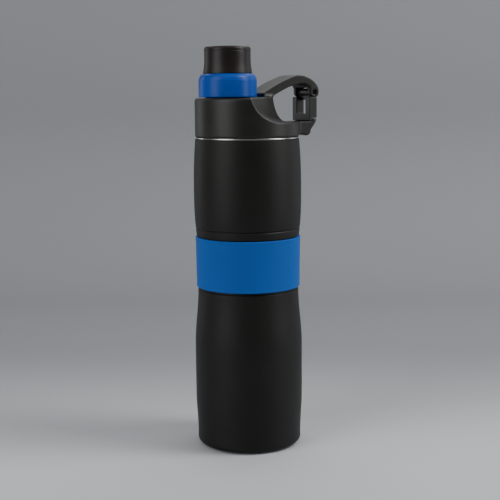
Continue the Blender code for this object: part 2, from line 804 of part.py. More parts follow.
def make_gate_spring():
    curve = bpy.data.curves.new("gate_spring", "CURVE")
    curve.dimensions = "3D"
    curve.resolution_u = 1
    curve.bevel_depth = SPRING_WIRE_R * MM
    curve.bevel_resolution = 2
    curve.use_fill_caps = True
    line = curve.splines.new("POLY")
    route = spring_points()
    line.points.add(len(route) - 1)
    for point, place in zip(line.points, route):
        point.co = (*metres(*place), 1.0)
    part("gate_spring", curve, "steel", GATE_AXIS)


def make_bottle():
    make_outer_shell()
    make_inner_vessel()
    make_radiation_foil()
    make_outer_base()
    make_vacuum_seal()
    make_getter()
    make_base_cover()
    make_grip_band()


def make_lid():
    make_lid_body()
    make_lid_plug()
    make_lid_gasket()
    make_spout()
    make_spout_gasket()


def make_cap():
    make_cap_shell()
    make_cap_ring()
    make_cap_liner()
    make_cap_seal()


make_bottle()
make_lid()
make_cap()
make_gate()
make_gate_pin()
make_gate_spring()
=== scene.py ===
# %% [markdown]
# # A steel bottle with a screw cap and a carabiner loop
#
# The bottle is a double-wall steel vessel with a matt black powder coat. A blue silicone sleeve sits in
# its waist. The lid is one black moulding: a collar as wide as the bottle, scooped away on both sides
# until only a prow is left, with a carry loop growing out of it. A sprung gate closes the loop.
# A small cap, blue below and black above, screws on to a spout that stands off the bottle's axis.
#
# The frame gives every place and size. This script makes the fine surfaces around it, cell by cell.

# %% Load the frame
import json
import math

import bmesh
import bpy
from mathutils import Matrix, Vector


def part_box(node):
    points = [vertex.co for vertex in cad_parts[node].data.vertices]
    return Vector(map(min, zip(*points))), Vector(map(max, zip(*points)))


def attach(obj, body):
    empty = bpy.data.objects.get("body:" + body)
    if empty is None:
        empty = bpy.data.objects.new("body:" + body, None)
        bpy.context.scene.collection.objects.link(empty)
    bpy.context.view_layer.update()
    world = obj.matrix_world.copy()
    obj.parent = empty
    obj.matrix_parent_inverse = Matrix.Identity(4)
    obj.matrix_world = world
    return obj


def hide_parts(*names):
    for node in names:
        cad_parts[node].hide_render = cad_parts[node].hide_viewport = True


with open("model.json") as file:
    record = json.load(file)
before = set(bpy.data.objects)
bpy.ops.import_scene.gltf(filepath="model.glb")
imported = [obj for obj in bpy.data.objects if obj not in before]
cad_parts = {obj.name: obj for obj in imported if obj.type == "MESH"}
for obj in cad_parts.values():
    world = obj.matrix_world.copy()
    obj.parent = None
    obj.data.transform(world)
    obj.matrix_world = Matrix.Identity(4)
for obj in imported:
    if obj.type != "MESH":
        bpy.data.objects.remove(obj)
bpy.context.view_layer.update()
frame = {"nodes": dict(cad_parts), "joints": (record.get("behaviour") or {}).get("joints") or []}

MM = 0.001

# %% [markdown]
# ## Reading sizes from the frame
#
# Each piece must fit the solid that it stands for, so the driving sizes are read from the frame's boxes
# and joints. They are kept in millimetres, because every wall and edge here is a few millimetres at most.


# %% Sizes of the bottle, the lid and the cap
def box_mm(node):
    low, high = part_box(node)
    return low / MM, high / MM


shell_low, shell_high = box_mm("outer_shell")
rim_low, rim_high = box_mm("inner_vessel")
band_low, band_high = box_mm("grip_band")
lid_low, lid_high = box_mm("lid_body")
ring_low, ring_high = box_mm("cap_ring")
knob_low, knob_high = box_mm("cap_shell")
spout_low, spout_high = box_mm("spout")
gate_low, gate_high = box_mm("gate")
cover_high = box_mm("base_cover")[1]

LOWER_R = shell_high.x
SHELL_TOP = shell_high.z
SHELL_FOOT = shell_low.z
RIM_R = rim_high.x
RIM_TOP = rim_high.z
LID_R = -lid_low.x
LID_BASE = lid_low.z
CAP_X = (ring_low.x + ring_high.x) / 2
RING_R = (ring_high.x - ring_low.x) / 2
CAP_FOOT = ring_low.z
LID_TOP = CAP_FOOT - 0.5
LOOP_HALF = gate_high.y

joints = {joint["name"]: joint for joint in frame["joints"]}
PIN_X = joints["gate_swing"]["pos_m"][0] / MM
PIN_Z = joints["gate_swing"]["pos_m"][2] / MM
print(f"body {2 * LOWER_R:.1f} mm wide, cap {CAP_X:.1f} mm off the axis")
print(f"gate pin at x {PIN_X:.1f}, z {PIN_Z:.1f}")

# %% [markdown]
# ## Surface patterns, made once and shared
#
# A moulded or painted surface is never one flat value. Three shader groups hold the patterns: a fine
# grain for coats and plastics, turning lines for bare metal, and a thin film of dust and rubbed marks.
# They read Object coordinates, so a pattern stays on its piece. The shader itself stays in each material.


# %% Helpers for shader groups
def new_group(name, inputs, outputs):
    group = bpy.data.node_groups.new(name, "ShaderNodeTree")
    for label, kind, value in inputs:
        socket = group.interface.new_socket(label, in_out="INPUT", socket_type=kind)
        if value is not None:
            socket.default_value = value
    for label, kind in outputs:
        group.interface.new_socket(label, in_out="OUTPUT", socket_type=kind)
    start = group.nodes.new("NodeGroupInput")
    end = group.nodes.new("NodeGroupOutput")
    return group, start, end


def add_node(tree, kind, **settings):
    node = tree.nodes.new(kind)
    for key, value in settings.items():
        setattr(node, key, value)
    return node


def maths(tree, operation, a, b=None, c=None):
    """A Math node with sockets or plain numbers as its inputs."""
    node = add_node(tree, "ShaderNodeMath", operation=operation)
    for socket, value in zip(node.inputs, (a, b, c)):
        if value is None:
            continue
        if isinstance(value, (int, float)):
            socket.default_value = value
        else:
            tree.links.new(value, socket)
    return node.outputs[0]


def mix_colour(tree, factor, a, b):
    node = add_node(tree, "ShaderNodeMix", data_type="RGBA")
    tree.links.new(factor, node.inputs["Factor"])
    tree.links.new(a, node.inputs["A"])
    tree.links.new(b, node.inputs["B"])
    return node.outputs["Result"]


def noise(tree, vector, scale, detail=2.0, roughness=0.5):
    node = add_node(tree, "ShaderNodeTexNoise")
    tree.links.new(vector, node.inputs["Vector"])
    if isinstance(scale, (int, float)):
        node.inputs["Scale"].default_value = scale
    else:
        tree.links.new(scale, node.inputs["Scale"])
    node.inputs["Detail"].default_value = detail
    node.inputs["Roughness"].default_value = roughness
    return node.outputs["Fac"]


# %% [markdown]
# ### Grain
#
# Powder coat cures into tiny hills like the skin of an orange, and a spark-eroded mould leaves a similar,
# finer grain on plastic. Smooth cells make the hills and a finer noise breaks them up.


# %% The grain group
def make_grain_group():
    group, start, end = new_group(
        "moulded_grain",
        [("Vector", "NodeSocketVector", None), ("Cells per metre", "NodeSocketFloat", 900.0),
         ("Roughness", "NodeSocketFloat", 0.45), ("Spread", "NodeSocketFloat", 0.08)],
        [("Height", "NodeSocketFloat"), ("Roughness", "NodeSocketFloat"), ("Mottle", "NodeSocketFloat")],
    )
    place = start.outputs["Vector"]
    size = start.outputs["Cells per metre"]
    cells = add_node(group, "ShaderNodeTexVoronoi", feature="SMOOTH_F1")
    group.links.new(place, cells.inputs["Vector"])
    group.links.new(size, cells.inputs["Scale"])
    fine = noise(group, place, maths(group, "MULTIPLY", size, 2.3), 3.0)
    hills = maths(group, "MULTIPLY", cells.outputs["Distance"], 0.55)
    height = maths(group, "MULTIPLY_ADD", fine, 0.45, hills)
    clouds = noise(group, place, 38.0, 4.0, 0.6)
    swing = maths(group, "MULTIPLY", maths(group, "SUBTRACT", clouds, 0.5), start.outputs["Spread"])
    speck = maths(group, "MULTIPLY", maths(group, "SUBTRACT", fine, 0.5), start.outputs["Spread"])
    rough = maths(group, "ADD", start.outputs["Roughness"], maths(group, "ADD", swing, speck))
    group.links.new(height, end.inputs["Height"])
    group.links.new(rough, end.inputs["Roughness"])
    group.links.new(clouds, end.inputs["Mottle"])
    return group


# %% [markdown]
# ### Turning lines
#
# The steel is spun on a lathe, so its marks are circles. The pattern uses the distance from the bottle's
# axis and the height, and ignores the angle, which leaves hair-thin rings on walls and on flat faces.


# %% The turning-line group
def make_turning_group():
    group, start, end = new_group(
        "turning_lines",
        [("Vector", "NodeSocketVector", None), ("Lines per metre", "NodeSocketFloat", 9000.0),
         ("Roughness", "NodeSocketFloat", 0.28), ("Spread", "NodeSocketFloat", 0.2)],
        [("Height", "NodeSocketFloat"), ("Roughness", "NodeSocketFloat"), ("Mottle", "NodeSocketFloat")],
    )
    parts = add_node(group, "ShaderNodeSeparateXYZ")
    group.links.new(start.outputs["Vector"], parts.inputs[0])
    x_squared = maths(group, "MULTIPLY", parts.outputs[0], parts.outputs[0])
    y_squared = maths(group, "MULTIPLY", parts.outputs[1], parts.outputs[1])
    across = maths(group, "POWER", maths(group, "ADD", x_squared, y_squared), 0.5)
    ring_place = add_node(group, "ShaderNodeCombineXYZ")
    group.links.new(across, ring_place.inputs[0])
    group.links.new(parts.outputs[2], ring_place.inputs[1])
    lines = noise(group, ring_place.outputs[0], start.outputs["Lines per metre"], 2.0, 0.7)
    clouds = noise(group, start.outputs["Vector"], 60.0, 3.0)
    swing = maths(group, "MULTIPLY", maths(group, "SUBTRACT", lines, 0.5), start.outputs["Spread"])
    group.links.new(lines, end.inputs["Height"])
    group.links.new(maths(group, "ADD", start.outputs["Roughness"], swing), end.inputs["Roughness"])
    group.links.new(clouds, end.inputs["Mottle"])
    return group


# %% [markdown]
# ### Dust and rubbed marks
#
# Dark plastic and silicone show handling first: a thin grey film in broad patches and a few short rubbed
# streaks. The group gives one mask, and each material decides how much lighter and rougher it gets there.


# %% The handling group
def make_handling_group():
    group, start, end = new_group(
        "handling_marks",
        [("Vector", "NodeSocketVector", None), ("Patches per metre", "NodeSocketFloat", 70.0),
         ("Amount", "NodeSocketFloat", 0.5)],
        [("Mask", "NodeSocketFloat")],
    )
    place = start.outputs["Vector"]
    patches = noise(group, place, start.outputs["Patches per metre"], 5.0, 0.65)
    soft = add_node(group, "ShaderNodeMapRange", interpolation_type="SMOOTHSTEP")
    group.links.new(patches, soft.inputs["Value"])
    soft.inputs["From Min"].default_value = 0.46
    soft.inputs["From Max"].default_value = 0.72
    stretch = add_node(group, "ShaderNodeMapping")
    stretch.inputs["Scale"].default_value = (900.0, 900.0, 60.0)
    stretch.inputs["Rotation"].default_value = (0.5, 0.3, 0.0)
    group.links.new(place, stretch.inputs["Vector"])
    streaks = noise(group, stretch.outputs["Vector"], 1.0, 2.0)
    thin = add_node(group, "ShaderNodeMapRange", interpolation_type="SMOOTHSTEP")
    group.links.new(streaks, thin.inputs["Value"])
    thin.inputs["From Min"].default_value = 0.66
    thin.inputs["From Max"].default_value = 0.74
    both = maths(group, "MAXIMUM", maths(group, "MULTIPLY", soft.outputs[0], 0.6),
                 maths(group, "MULTIPLY", thin.outputs[0], soft.outputs[0]))
    group.links.new(maths(group, "MULTIPLY", both, start.outputs["Amount"]), end.inputs["Mask"])
    return group


GRAIN = make_grain_group()
TURNING = make_turning_group()
HANDLING = make_handling_group()
print("shader groups:", GRAIN.name, TURNING.name, HANDLING.name)

# %% [markdown]
# ## One recipe for a finish
#
# Every finish is a Principled shader whose colour drifts between two close tones, whose roughness and
# bump come from a surface group, and which turns a little lighter and rougher where it has been handled.
# What is the same all over, such as sheen or coat, is set straight on the shader.


# %% The finish function
def group_node(tree, group, place, **values):
    node = add_node(tree, "ShaderNodeGroup")
    node.node_tree = group
    tree.links.new(place, node.inputs["Vector"])
    for label, value in values.items():
        node.inputs[label.replace("_", " ")].default_value = value
    return node


def colour_node(tree, colour):
    node = add_node(tree, "ShaderNodeRGB")
    node.outputs[0].default_value = (*colour, 1.0)
    return node.outputs[0]


def finish_material(name, dark, light, surface, surface_values, bump, film=None, film_amount=0.4,
                    shift=(0.0, 0.0, 0.0), **shader_values):
    """dark and light are the two tones; film is the colour that handling adds; shift moves the pattern."""
    material = bpy.data.materials.new(name)
    material.use_nodes = True
    tree = material.node_tree
    shader = tree.nodes["Principled BSDF"]
    where = add_node(tree, "ShaderNodeTexCoord")
    centred = add_node(tree, "ShaderNodeMapping")
    centred.inputs["Location"].default_value = shift
    tree.links.new(where.outputs["Object"], centred.inputs["Vector"])
    place = centred.outputs["Vector"]

    pattern = group_node(tree, surface, place, **surface_values)
    colour = mix_colour(tree, pattern.outputs["Mottle"], colour_node(tree, dark), colour_node(tree, light))
    rough = pattern.outputs["Roughness"]
    if film:
        marks = group_node(tree, HANDLING, place, Amount=film_amount)
        colour = mix_colour(tree, marks.outputs["Mask"], colour, colour_node(tree, film))
        rough = maths(tree, "MULTIPLY_ADD", marks.outputs["Mask"], 0.25, rough)
    tree.links.new(colour, shader.inputs["Base Color"])
    tree.links.new(rough, shader.inputs["Roughness"])

    relief = add_node(tree, "ShaderNodeBump")
    relief.inputs["Strength"].default_value = bump[0]
    relief.inputs["Distance"].default_value = bump[1] * MM
    tree.links.new(pattern.outputs["Height"], relief.inputs["Height"])
    tree.links.new(relief.outputs["Normal"], shader.inputs["Normal"])
    for label, value in shader_values.items():
        shader.inputs[label.replace("_", " ")].default_value = value
    return material


# %% [markdown]
# ## The finishes
#
# The coat is nearly black with a trace of brown and takes wide, soft highlights. The collar's plastic is
# a little smoother. The cap's knob is smoother again and warmer. The waist sleeve is dull silicone, which
# scatters light at its edges, so it gets some sheen. The cap's ring is the only half-gloss piece.


# %% Coats, plastics and silicone
powder_coat = finish_material(
    "powder_coat", (0.0034, 0.0034, 0.0027), (0.0054, 0.0054, 0.0044), GRAIN,
    {"Cells_per_metre": 1100.0, "Roughness": 0.50, "Spread": 0.10}, (0.30, 0.05),
    film=(0.02, 0.02, 0.018), film_amount=0.10, Specular_IOR_Level=0.22)
collar_plastic = finish_material(
    "collar_plastic", (0.0042, 0.0042, 0.0030), (0.0066, 0.0066, 0.0050), GRAIN,
    {"Cells_per_metre": 2200.0, "Roughness": 0.44, "Spread": 0.08}, (0.22, 0.03),
    film=(0.03, 0.03, 0.025), film_amount=0.14, Specular_IOR_Level=0.36)
gate_plastic = finish_material(
    "gate_plastic", (0.0048, 0.0048, 0.0040), (0.0075, 0.0075, 0.0062), GRAIN,
    {"Cells_per_metre": 2200.0, "Roughness": 0.44, "Spread": 0.10}, (0.22, 0.03),
    film=(0.035, 0.035, 0.03), film_amount=0.22, Specular_IOR_Level=0.42)
knob_plastic = finish_material(
    "knob_plastic", (0.0080, 0.0058, 0.0052), (0.0115, 0.0088, 0.0080), GRAIN,
    {"Cells_per_metre": 2600.0, "Roughness": 0.40, "Spread": 0.08}, (0.15, 0.02),
    film=(0.04, 0.036, 0.033), film_amount=0.16, Specular_IOR_Level=0.24)
sleeve_silicone = finish_material(
    "sleeve_silicone", (0.0, 0.070, 0.305), (0.0, 0.078, 0.335), GRAIN,
    {"Cells_per_metre": 1500.0, "Roughness": 0.62, "Spread": 0.10}, (0.20, 0.04),
    film=(0.02, 0.12, 0.36), film_amount=0.22, Specular_IOR_Level=0.12, Sheen_Weight=0.06,
    Sheen_Roughness=0.4, Sheen_Tint=(0.45, 0.7, 1.0, 1.0))
ring_plastic = finish_material(
    "ring_plastic", (0.0, 0.046, 0.270), (0.0, 0.054, 0.305), GRAIN,
    {"Cells_per_metre": 2600.0, "Roughness": 0.34, "Spread": 0.06}, (0.10, 0.02),
    film=(0.03, 0.15, 0.45), film_amount=0.12, Specular_IOR_Level=0.16)
clear_silicone = finish_material(
    "clear_silicone", (0.62, 0.62, 0.59), (0.72, 0.72, 0.69), GRAIN,
    {"Cells_per_metre": 1500.0, "Roughness": 0.45, "Spread": 0.08}, (0.15, 0.03),
    Subsurface_Weight=0.2, Subsurface_Scale=0.002)
inner_plastic = finish_material(
    "inner_plastic", (0.0140, 0.0140, 0.0135), (0.0190, 0.0190, 0.0185), GRAIN,
    {"Cells_per_metre": 1800.0, "Roughness": 0.36, "Spread": 0.08}, (0.15, 0.03))

# %% [markdown]
# The bare metals share the turning lines. The rim stands between two black pieces and is seen as one thin
# bright line. The spring and the pin are drawn wire, and darker. The spring's near-black grey is painted
# shade for the shaded gap under the hinge barrel, where it sits.

# %% Bare metals
bare_steel = finish_material(
    "bare_steel", (0.42, 0.42, 0.40), (0.54, 0.54, 0.51), TURNING,
    {"Lines_per_metre": 9000.0, "Roughness": 0.27, "Spread": 0.18}, (0.25, 0.02), Metallic=1.0)
# Painted shade: the spring wire's colour is set near black for the shaded gap under the hinge barrel.
wire_steel_painted_shade = finish_material(
    "wire_steel_painted_shade", (0.05, 0.05, 0.048), (0.08, 0.08, 0.076), GRAIN,
    {"Cells_per_metre": 3000.0, "Roughness": 0.40, "Spread": 0.12}, (0.15, 0.01), Metallic=1.0)
black_oxide = finish_material(
    "black_oxide", (0.0015, 0.0015, 0.0015), (0.0030, 0.0030, 0.0030), GRAIN,
    {"Cells_per_metre": 3000.0, "Roughness": 0.60, "Spread": 0.10}, (0.15, 0.01), Specular_IOR_Level=0.1)
copper_foil = finish_material(
    "copper_foil", (0.62, 0.34, 0.20), (0.75, 0.45, 0.29), TURNING,
    {"Lines_per_metre": 1500.0, "Roughness": 0.32, "Spread": 0.20}, (0.40, 0.10), Metallic=1.0)
sintered_metal = finish_material(
    "sintered_metal", (0.20, 0.19, 0.18), (0.30, 0.29, 0.27), GRAIN,
    {"Cells_per_metre": 2500.0, "Roughness": 0.55, "Spread": 0.15}, (0.50, 0.08), Metallic=1.0)
print("finishes:", len(bpy.data.materials))

# %% [markdown]
# ## Turned pieces
#
# Most of the bottle is round, so most pieces are a half section spun about an axis. A real edge is never
# sharp: each corner of a section carries its own rounding, and that is what catches the light.


# %% Half sections and the spin
def rounded(corners, closed=False):
    """(radius, height, rounding) corners to a line of points, with each rounding as a short curve."""
    steps = 5
    line = []
    count = len(corners)
    for i, corner in enumerate(corners):
        here = Vector(corner[:2])
        rounding = corner[2] if len(corner) > 2 else 0.0
        if rounding == 0.0 or (not closed and i in (0, count - 1)):
            line.append(here)
            continue
        before = Vector(corners[i - 1][:2])
        after = Vector(corners[(i + 1) % count][:2])
        start = here + (before - here).normalized() * min(rounding, (before - here).length * 0.49)
        end = here + (after - here).normalized() * min(rounding, (after - here).length * 0.49)
        for step in range(steps + 1):
            t = step / steps
            line.append(start * (1 - t) ** 2 + here * (2 * t * (1 - t)) + end * t ** 2)
    return line


def spin_shape(line, steps, closed=False, centre_x=0.0):
    """A bmesh spun from a line of (radius, height) points, in millimetres."""
    shape = bmesh.new()
    verts = [shape.verts.new((point[0] * MM, 0.0, point[1] * MM)) for point in line]
    ends = verts[1:] + verts[:1] if closed else verts[1:]
    edges = [shape.edges.new(pair) for pair in zip(verts, ends)]
    bmesh.ops.spin(shape, geom=verts + edges, cent=(0.0, 0.0, 0.0), axis=(0.0, 0.0, 1.0),
                   angle=math.tau, steps=steps, use_merge=True)
    bmesh.ops.remove_doubles(shape, verts=shape.verts, dist=0.001 * MM)
    bmesh.ops.translate(shape, verts=shape.verts, vec=(centre_x * MM, 0.0, 0.0))
    bmesh.ops.recalc_face_normals(shape, faces=shape.faces)
    return shape


def add_piece(name, shape, material, sharp=38.0):
    """Turn a bmesh into an object in the scene, shaded smooth up to the given angle."""
    mesh = bpy.data.meshes.new(name)
    shape.to_mesh(mesh)
    shape.free()
    mesh.shade_smooth()
    mesh.set_sharp_from_angle(angle=math.radians(sharp))
    if material:
        mesh.materials.append(material)
    piece = bpy.data.objects.new(name, mesh)
    bpy.context.scene.collection.objects.link(piece)
    return piece


def stand_for(piece, body, slot, *nodes):
    """The piece rides on a body and hides the solids that it stands for. Its slot, the finish's name, is
    not used.
    """
    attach(piece, body)
    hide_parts(*nodes)
    print(f"{piece.name}: {len(piece.data.vertices)} points, rides on {body}")
    return piece


BODY_STEPS = 176
CAP_STEPS = 128

# %% [markdown]
# ## The painted shell
#
# The outer wall swells twice, above and below the waist. Each swelling is a gentle power curve, flat in
# the middle and quicker near its ends, which is what a hydroformed tube looks like. A narrow bead and a
# groove frame the sleeve's seat. The wall turns under at the foot and stops at a lip.


# %% The shell's curves
UPPER_R = LOWER_R - 0.35
UPPER_MIDDLE = 176.0
UPPER_FOOT = 149.8
LOWER_MIDDLE = 69.0
LOWER_TOP = 107.2
FOOT_R = 35.6
FOOT_CORNER = 3.0
LIP_R = 30.8
SEAT_R = 33.4
BEAD_R = 35.3
GROOVE_R = 34.8
WALL = 0.7


def smooth_step(t):
    t = min(max(t, 0.0), 1.0)
    return t * t * (3.0 - 2.0 * t)


def upper_radius(z):
    if z > UPPER_MIDDLE:
        return UPPER_R - 1.4 * ((z - UPPER_MIDDLE) / (SHELL_TOP - UPPER_MIDDLE)) ** 2.2
    return UPPER_R - 0.95 * ((UPPER_MIDDLE - z) / (UPPER_MIDDLE - UPPER_FOOT)) ** 3


def lower_radius(z):
    if z > LOWER_MIDDLE:
        return LOWER_R - 2.4 * smooth_step((z - LOWER_MIDDLE) / (LOWER_TOP - LOWER_MIDDLE))
    return LOWER_R - (LOWER_R - FOOT_R) * smooth_step((34.0 - z) / 26.0)


def between(low, high, steps):
    return [low + (high - low) * step / steps for step in range(steps + 1)]


# %% The shell's section
def make_shell():
    upper_heights = between(UPPER_FOOT + 0.6, SHELL_TOP - 0.5, 30)
    upper = [(upper_radius(z), z, 0.0) for z in reversed(upper_heights)]
    waist = [
        (upper_radius(UPPER_FOOT), UPPER_FOOT, 0.3),
        (GROOVE_R - 0.1, 149.5, 0.1),
        (GROOVE_R - 0.1, 149.2, 0.1),
        (BEAD_R, 148.5, 0.15),
        (BEAD_R - 0.45, 144.1, 0.25),
        (SEAT_R, 144.0, 0.2),
        (SEAT_R, 108.1, 0.2),
        (lower_radius(LOWER_TOP) - 0.05, LOWER_TOP + 0.1, 0.15),
    ]
    lower_heights = between(SHELL_FOOT + FOOT_CORNER, LOWER_TOP - 0.6, 48)
    lower = [(lower_radius(z), z, 0.0) for z in reversed(lower_heights)]
    corner = []
    for step in range(1, 9):
        angle = math.pi / 2 * step / 8
        corner.append((FOOT_R - FOOT_CORNER * (1 - math.cos(angle)),
                       SHELL_FOOT + FOOT_CORNER * (1 - math.sin(angle)), 0.0))
    outside = [(upper_radius(SHELL_TOP) - WALL, SHELL_TOP, 0.2), (upper_radius(SHELL_TOP), SHELL_TOP, 0.3)]
    outside += upper + waist + lower + corner
    inside = [
        (LIP_R, SHELL_FOOT, 0.2),
        (LIP_R, SHELL_FOOT + WALL, 0.2),
        (FOOT_R - WALL, SHELL_FOOT + WALL, 2.2),
        (FOOT_R - WALL, 13.0, 1.0),
        (LOWER_R - WALL, 36.0, 3.0),
        (LOWER_R - WALL, 69.0, 3.0),
        (lower_radius(82.0) - WALL, 82.0, 2.0),
        (lower_radius(94.0) - WALL, 94.0, 2.0),
        (SEAT_R - WALL, 107.8, 1.0),
        (SEAT_R - WALL, 144.7, 0.3),
        (GROOVE_R - WALL, 145.1, 0.3),
        (GROOVE_R - WALL, UPPER_FOOT, 0.5),
        (UPPER_R - WALL, 166.0, 3.0),
        (UPPER_R - WALL, 190.0, 3.0),
    ]
    shape = spin_shape(rounded(outside + inside, closed=True), BODY_STEPS, closed=True)
    return stand_for(add_piece("painted_shell", shape, powder_coat), "bottle", "powder_coat", "outer_shell")


make_shell()

# %% [markdown]
# ## The waist sleeve
#
# The silicone sleeve is stretched over the seat, so its edges are rolled and it widens a little towards
# the top. A thin raised hem runs round it at each edge.


# %% The sleeve
def make_sleeve():
    low, high = band_low.z, band_high.z
    high_r, low_r = band_high.x, band_high.x - 0.4
    inner = SEAT_R + 0.3
    line = [(inner, high, 0.2), (high_r - 0.1, high, 0.5)]
    line += [(high_r, high - 1.1, 0.3), (high_r - 0.14, high - 1.5, 0.2)]
    line += [(low_r - 0.14, low + 1.5, 0.2), (low_r, low + 1.1, 0.3)]
    line += [(low_r - 0.1, low, 0.5), (inner, low, 0.2)]
    shape = spin_shape(rounded(line, closed=True), BODY_STEPS, closed=True)
    sleeve = add_piece("waist_sleeve", shape, sleeve_silicone)
    return stand_for(sleeve, "bottle", "blue_silicone", "grip_band")


make_sleeve()

# %% [markdown]
# ## Screw threads
#
# A thread is one tapered section carried round and up. The spin operator does it when it also gets a
# rise for each step. Real ridges fade in and out of the wall over a few degrees, so the ends are pressed
# back to the root. The ridge is then joined to its wall.


# %% A ridge and its joining
def thread_shape(root_r, crest_r, start_z, lead, turns, widths, steps, centre_x=0.0):
    shape = bmesh.new()
    root, crest = widths[0] / 2, widths[1] / 2
    section = [(root_r, -root), (crest_r, -crest), (crest_r, crest), (root_r, root)]
    corners = [shape.verts.new((radius * MM, 0.0, (start_z + z) * MM)) for radius, z in section]
    face = shape.faces.new(corners)
    bmesh.ops.spin(shape, geom=[face, *face.edges, *face.verts], cent=(0.0, 0.0, 0.0), axis=(0.0, 0.0, 1.0),
                   dvec=(0.0, 0.0, lead / steps * MM), angle=math.tau * turns, steps=round(turns * steps))
    for vert in shape.verts:
        share = (vert.co.z / MM - start_z) / (lead * turns)
        fade = smooth_step(min(share, 1.0 - share) / 0.08)
        radius = vert.co.xy.length / MM
        wanted = root_r + (radius - root_r) * (0.12 + 0.88 * fade)
        vert.co.xy *= wanted / radius
    bmesh.ops.translate(shape, verts=shape.verts, vec=(centre_x * MM, 0.0, 0.0))
    bmesh.ops.recalc_face_normals(shape, faces=shape.faces)
    return shape


def cut_or_join(piece, shape, operation):
    """Apply one Boolean with a bmesh as its tool, and throw the tool away."""
    tool = add_piece("tool", shape, None)
    modifier = piece.modifiers.new("tool", "BOOLEAN")
    modifier.operation = operation
    modifier.solver = "EXACT"
    modifier.object = tool
    graph = bpy.context.evaluated_depsgraph_get()
    mesh = bpy.data.meshes.new_from_object(piece.evaluated_get(graph))
    piece.modifiers.clear()
    piece.data = mesh
    bpy.data.objects.remove(tool, do_unlink=True)
    return piece


LID_LEAD = 4.0
CAP_LEAD = 3.0
THREAD_TURNS = 1.5
NECK_THREAD_Z = 201.5
PLUG_THREAD_Z = NECK_THREAD_Z - LID_LEAD / 2
SPOUT_THREAD_Z = 241.0

# %% [markdown]
# ## The inner vessel
#
# The liner is one drawn steel sheet: a round-bottomed tube, a rolled bead where the lid's gasket lands,
# a threaded neck and a rim turned outwards. The rim's edge is the bright line under the lid.


# %% The vessel
def make_vessel():
    sheet = 0.6
    vessel_r, neck_r, seat_r = 29.4, 27.6, 26.3
    floor = rim_low.z + sheet
    line = [
        (0.0, floor, 0.0),
        (vessel_r, floor, 7.6),
        (vessel_r, 182.0, 2.0),
        (seat_r, 187.5, 1.2),
        (neck_r, 191.0, 1.0),
        (neck_r, RIM_TOP, 0.9),
        (RIM_R, RIM_TOP, 0.25),
        (RIM_R, RIM_TOP - 0.9, 0.25),
        (neck_r + sheet, RIM_TOP - 0.9, 0.9),
        (neck_r + sheet, 190.8, 1.0),
        (seat_r + sheet, 187.5, 1.2),
        (vessel_r + sheet, 182.3, 2.0),
        (vessel_r + sheet, floor - sheet, 8.2),
        (0.0, floor - sheet, 0.0),
    ]
    vessel = add_piece("steel_vessel", spin_shape(rounded(line), BODY_STEPS), bare_steel)
    ridge = thread_shape(neck_r + 0.3, neck_r - 1.2, NECK_THREAD_Z, LID_LEAD, THREAD_TURNS, (1.5, 0.9), 96)
    cut_or_join(vessel, ridge, "UNION")
    return stand_for(vessel, "bottle", "bare_steel", "inner_vessel")


make_vessel()

# %% [markdown]
# ## The foot
#
# The pressed cover closes the foot. It has a shallow recess so that the bottle stands on a ring, and a
# few turned steps that stiffen it.


# %% The base cover
def make_cover():
    radius, rim_top = cover_high.x, cover_high.z
    line = [
        (0.0, 1.5, 0.0),
        (18.0, 1.5, 0.5),
        (19.2, 1.0, 0.5),
        (radius - 0.9, 1.0, 0.5),
        (radius - 0.9, rim_top, 0.2),
        (radius, rim_top, 0.2),
        (radius, 0.0, 0.9),
        (24.0, 0.0, 0.5),
        (22.6, 0.45, 0.5),
        (20.0, 0.45, 0.3),
        (19.0, 0.6, 0.3),
        (0.0, 0.6, 0.0),
    ]
    shape = spin_shape(rounded(line), BODY_STEPS)
    return stand_for(add_piece("foot_cover", shape, bare_steel), "bottle", "bare_steel", "base_cover")


make_cover()

# %% [markdown]
# ## The cap
#
# The cap is two mouldings. The blue ring is the grip: straight below, then a rounded shoulder with a
# fine flat between the two, which shows as a bright line. The black knob is waisted, with a small lip
# under its crowned top.


# %% Ring and knob
def make_ring():
    top, inner = ring_high.z, 15.9
    line = [
        (inner, top, 0.1),
        (16.4, top, 0.3),
        (17.7, top - 0.7, 0.8),
        (18.7, top - 2.1, 0.9),
        (19.1, top - 3.4, 0.5),
        (19.3, top - 4.1, 0.1),
        (RING_R - 0.06, top - 4.2, 0.1),
        (RING_R - 0.06, CAP_FOOT + 1.7, 0.1),
        (RING_R, CAP_FOOT + 1.5, 0.1),
        (RING_R, CAP_FOOT, 0.5),
        (inner, CAP_FOOT, 0.3),
    ]
    shape = spin_shape(rounded(line, closed=True), CAP_STEPS, closed=True, centre_x=CAP_X)
    return stand_for(add_piece("cap_ring_moulding", shape, ring_plastic), "cap", "cap_blue", "cap_ring")


def make_knob():
    top, foot, radius, sleeve = knob_high.z, knob_low.z, 15.45, 15.6
    flare = ring_high.z + 0.3
    line = [
        (0.0, top, 0.0),
        (radius - 2.2, top, 0.5),
        (radius - 1.2, top - 0.1, 0.5),
        (radius, top - 1.2, 0.9),
        (radius, top - 2.9, 0.15),
        (radius - 0.22, top - 3.1, 0.12),
        (radius - 0.05, top - 3.4, 0.15),
        (radius - 0.08, 262.0, 2.0),
        (radius, 259.0, 1.5),
        (radius + 0.22, 256.6, 1.2),
        (radius + 0.6, 254.4, 1.0),
        (radius + 0.95, flare, 0.1),
        (sleeve, flare, 0.1),
        (sleeve, foot, 0.2),
        (sleeve - 0.9, foot, 0.2),
        (sleeve - 0.9, top - 1.7, 0.8),
        (0.0, top - 1.7, 0.0),
    ]
    shape = spin_shape(rounded(line), CAP_STEPS, centre_x=CAP_X)
    return stand_for(add_piece("cap_knob", shape, knob_plastic), "cap", "cap_black", "cap_shell")


make_ring()
make_knob()

# %% [markdown]
# ## The spout
#
# Under the cap stands a tube with a rolled lip, an outside thread and a flange that holds it in the lid.


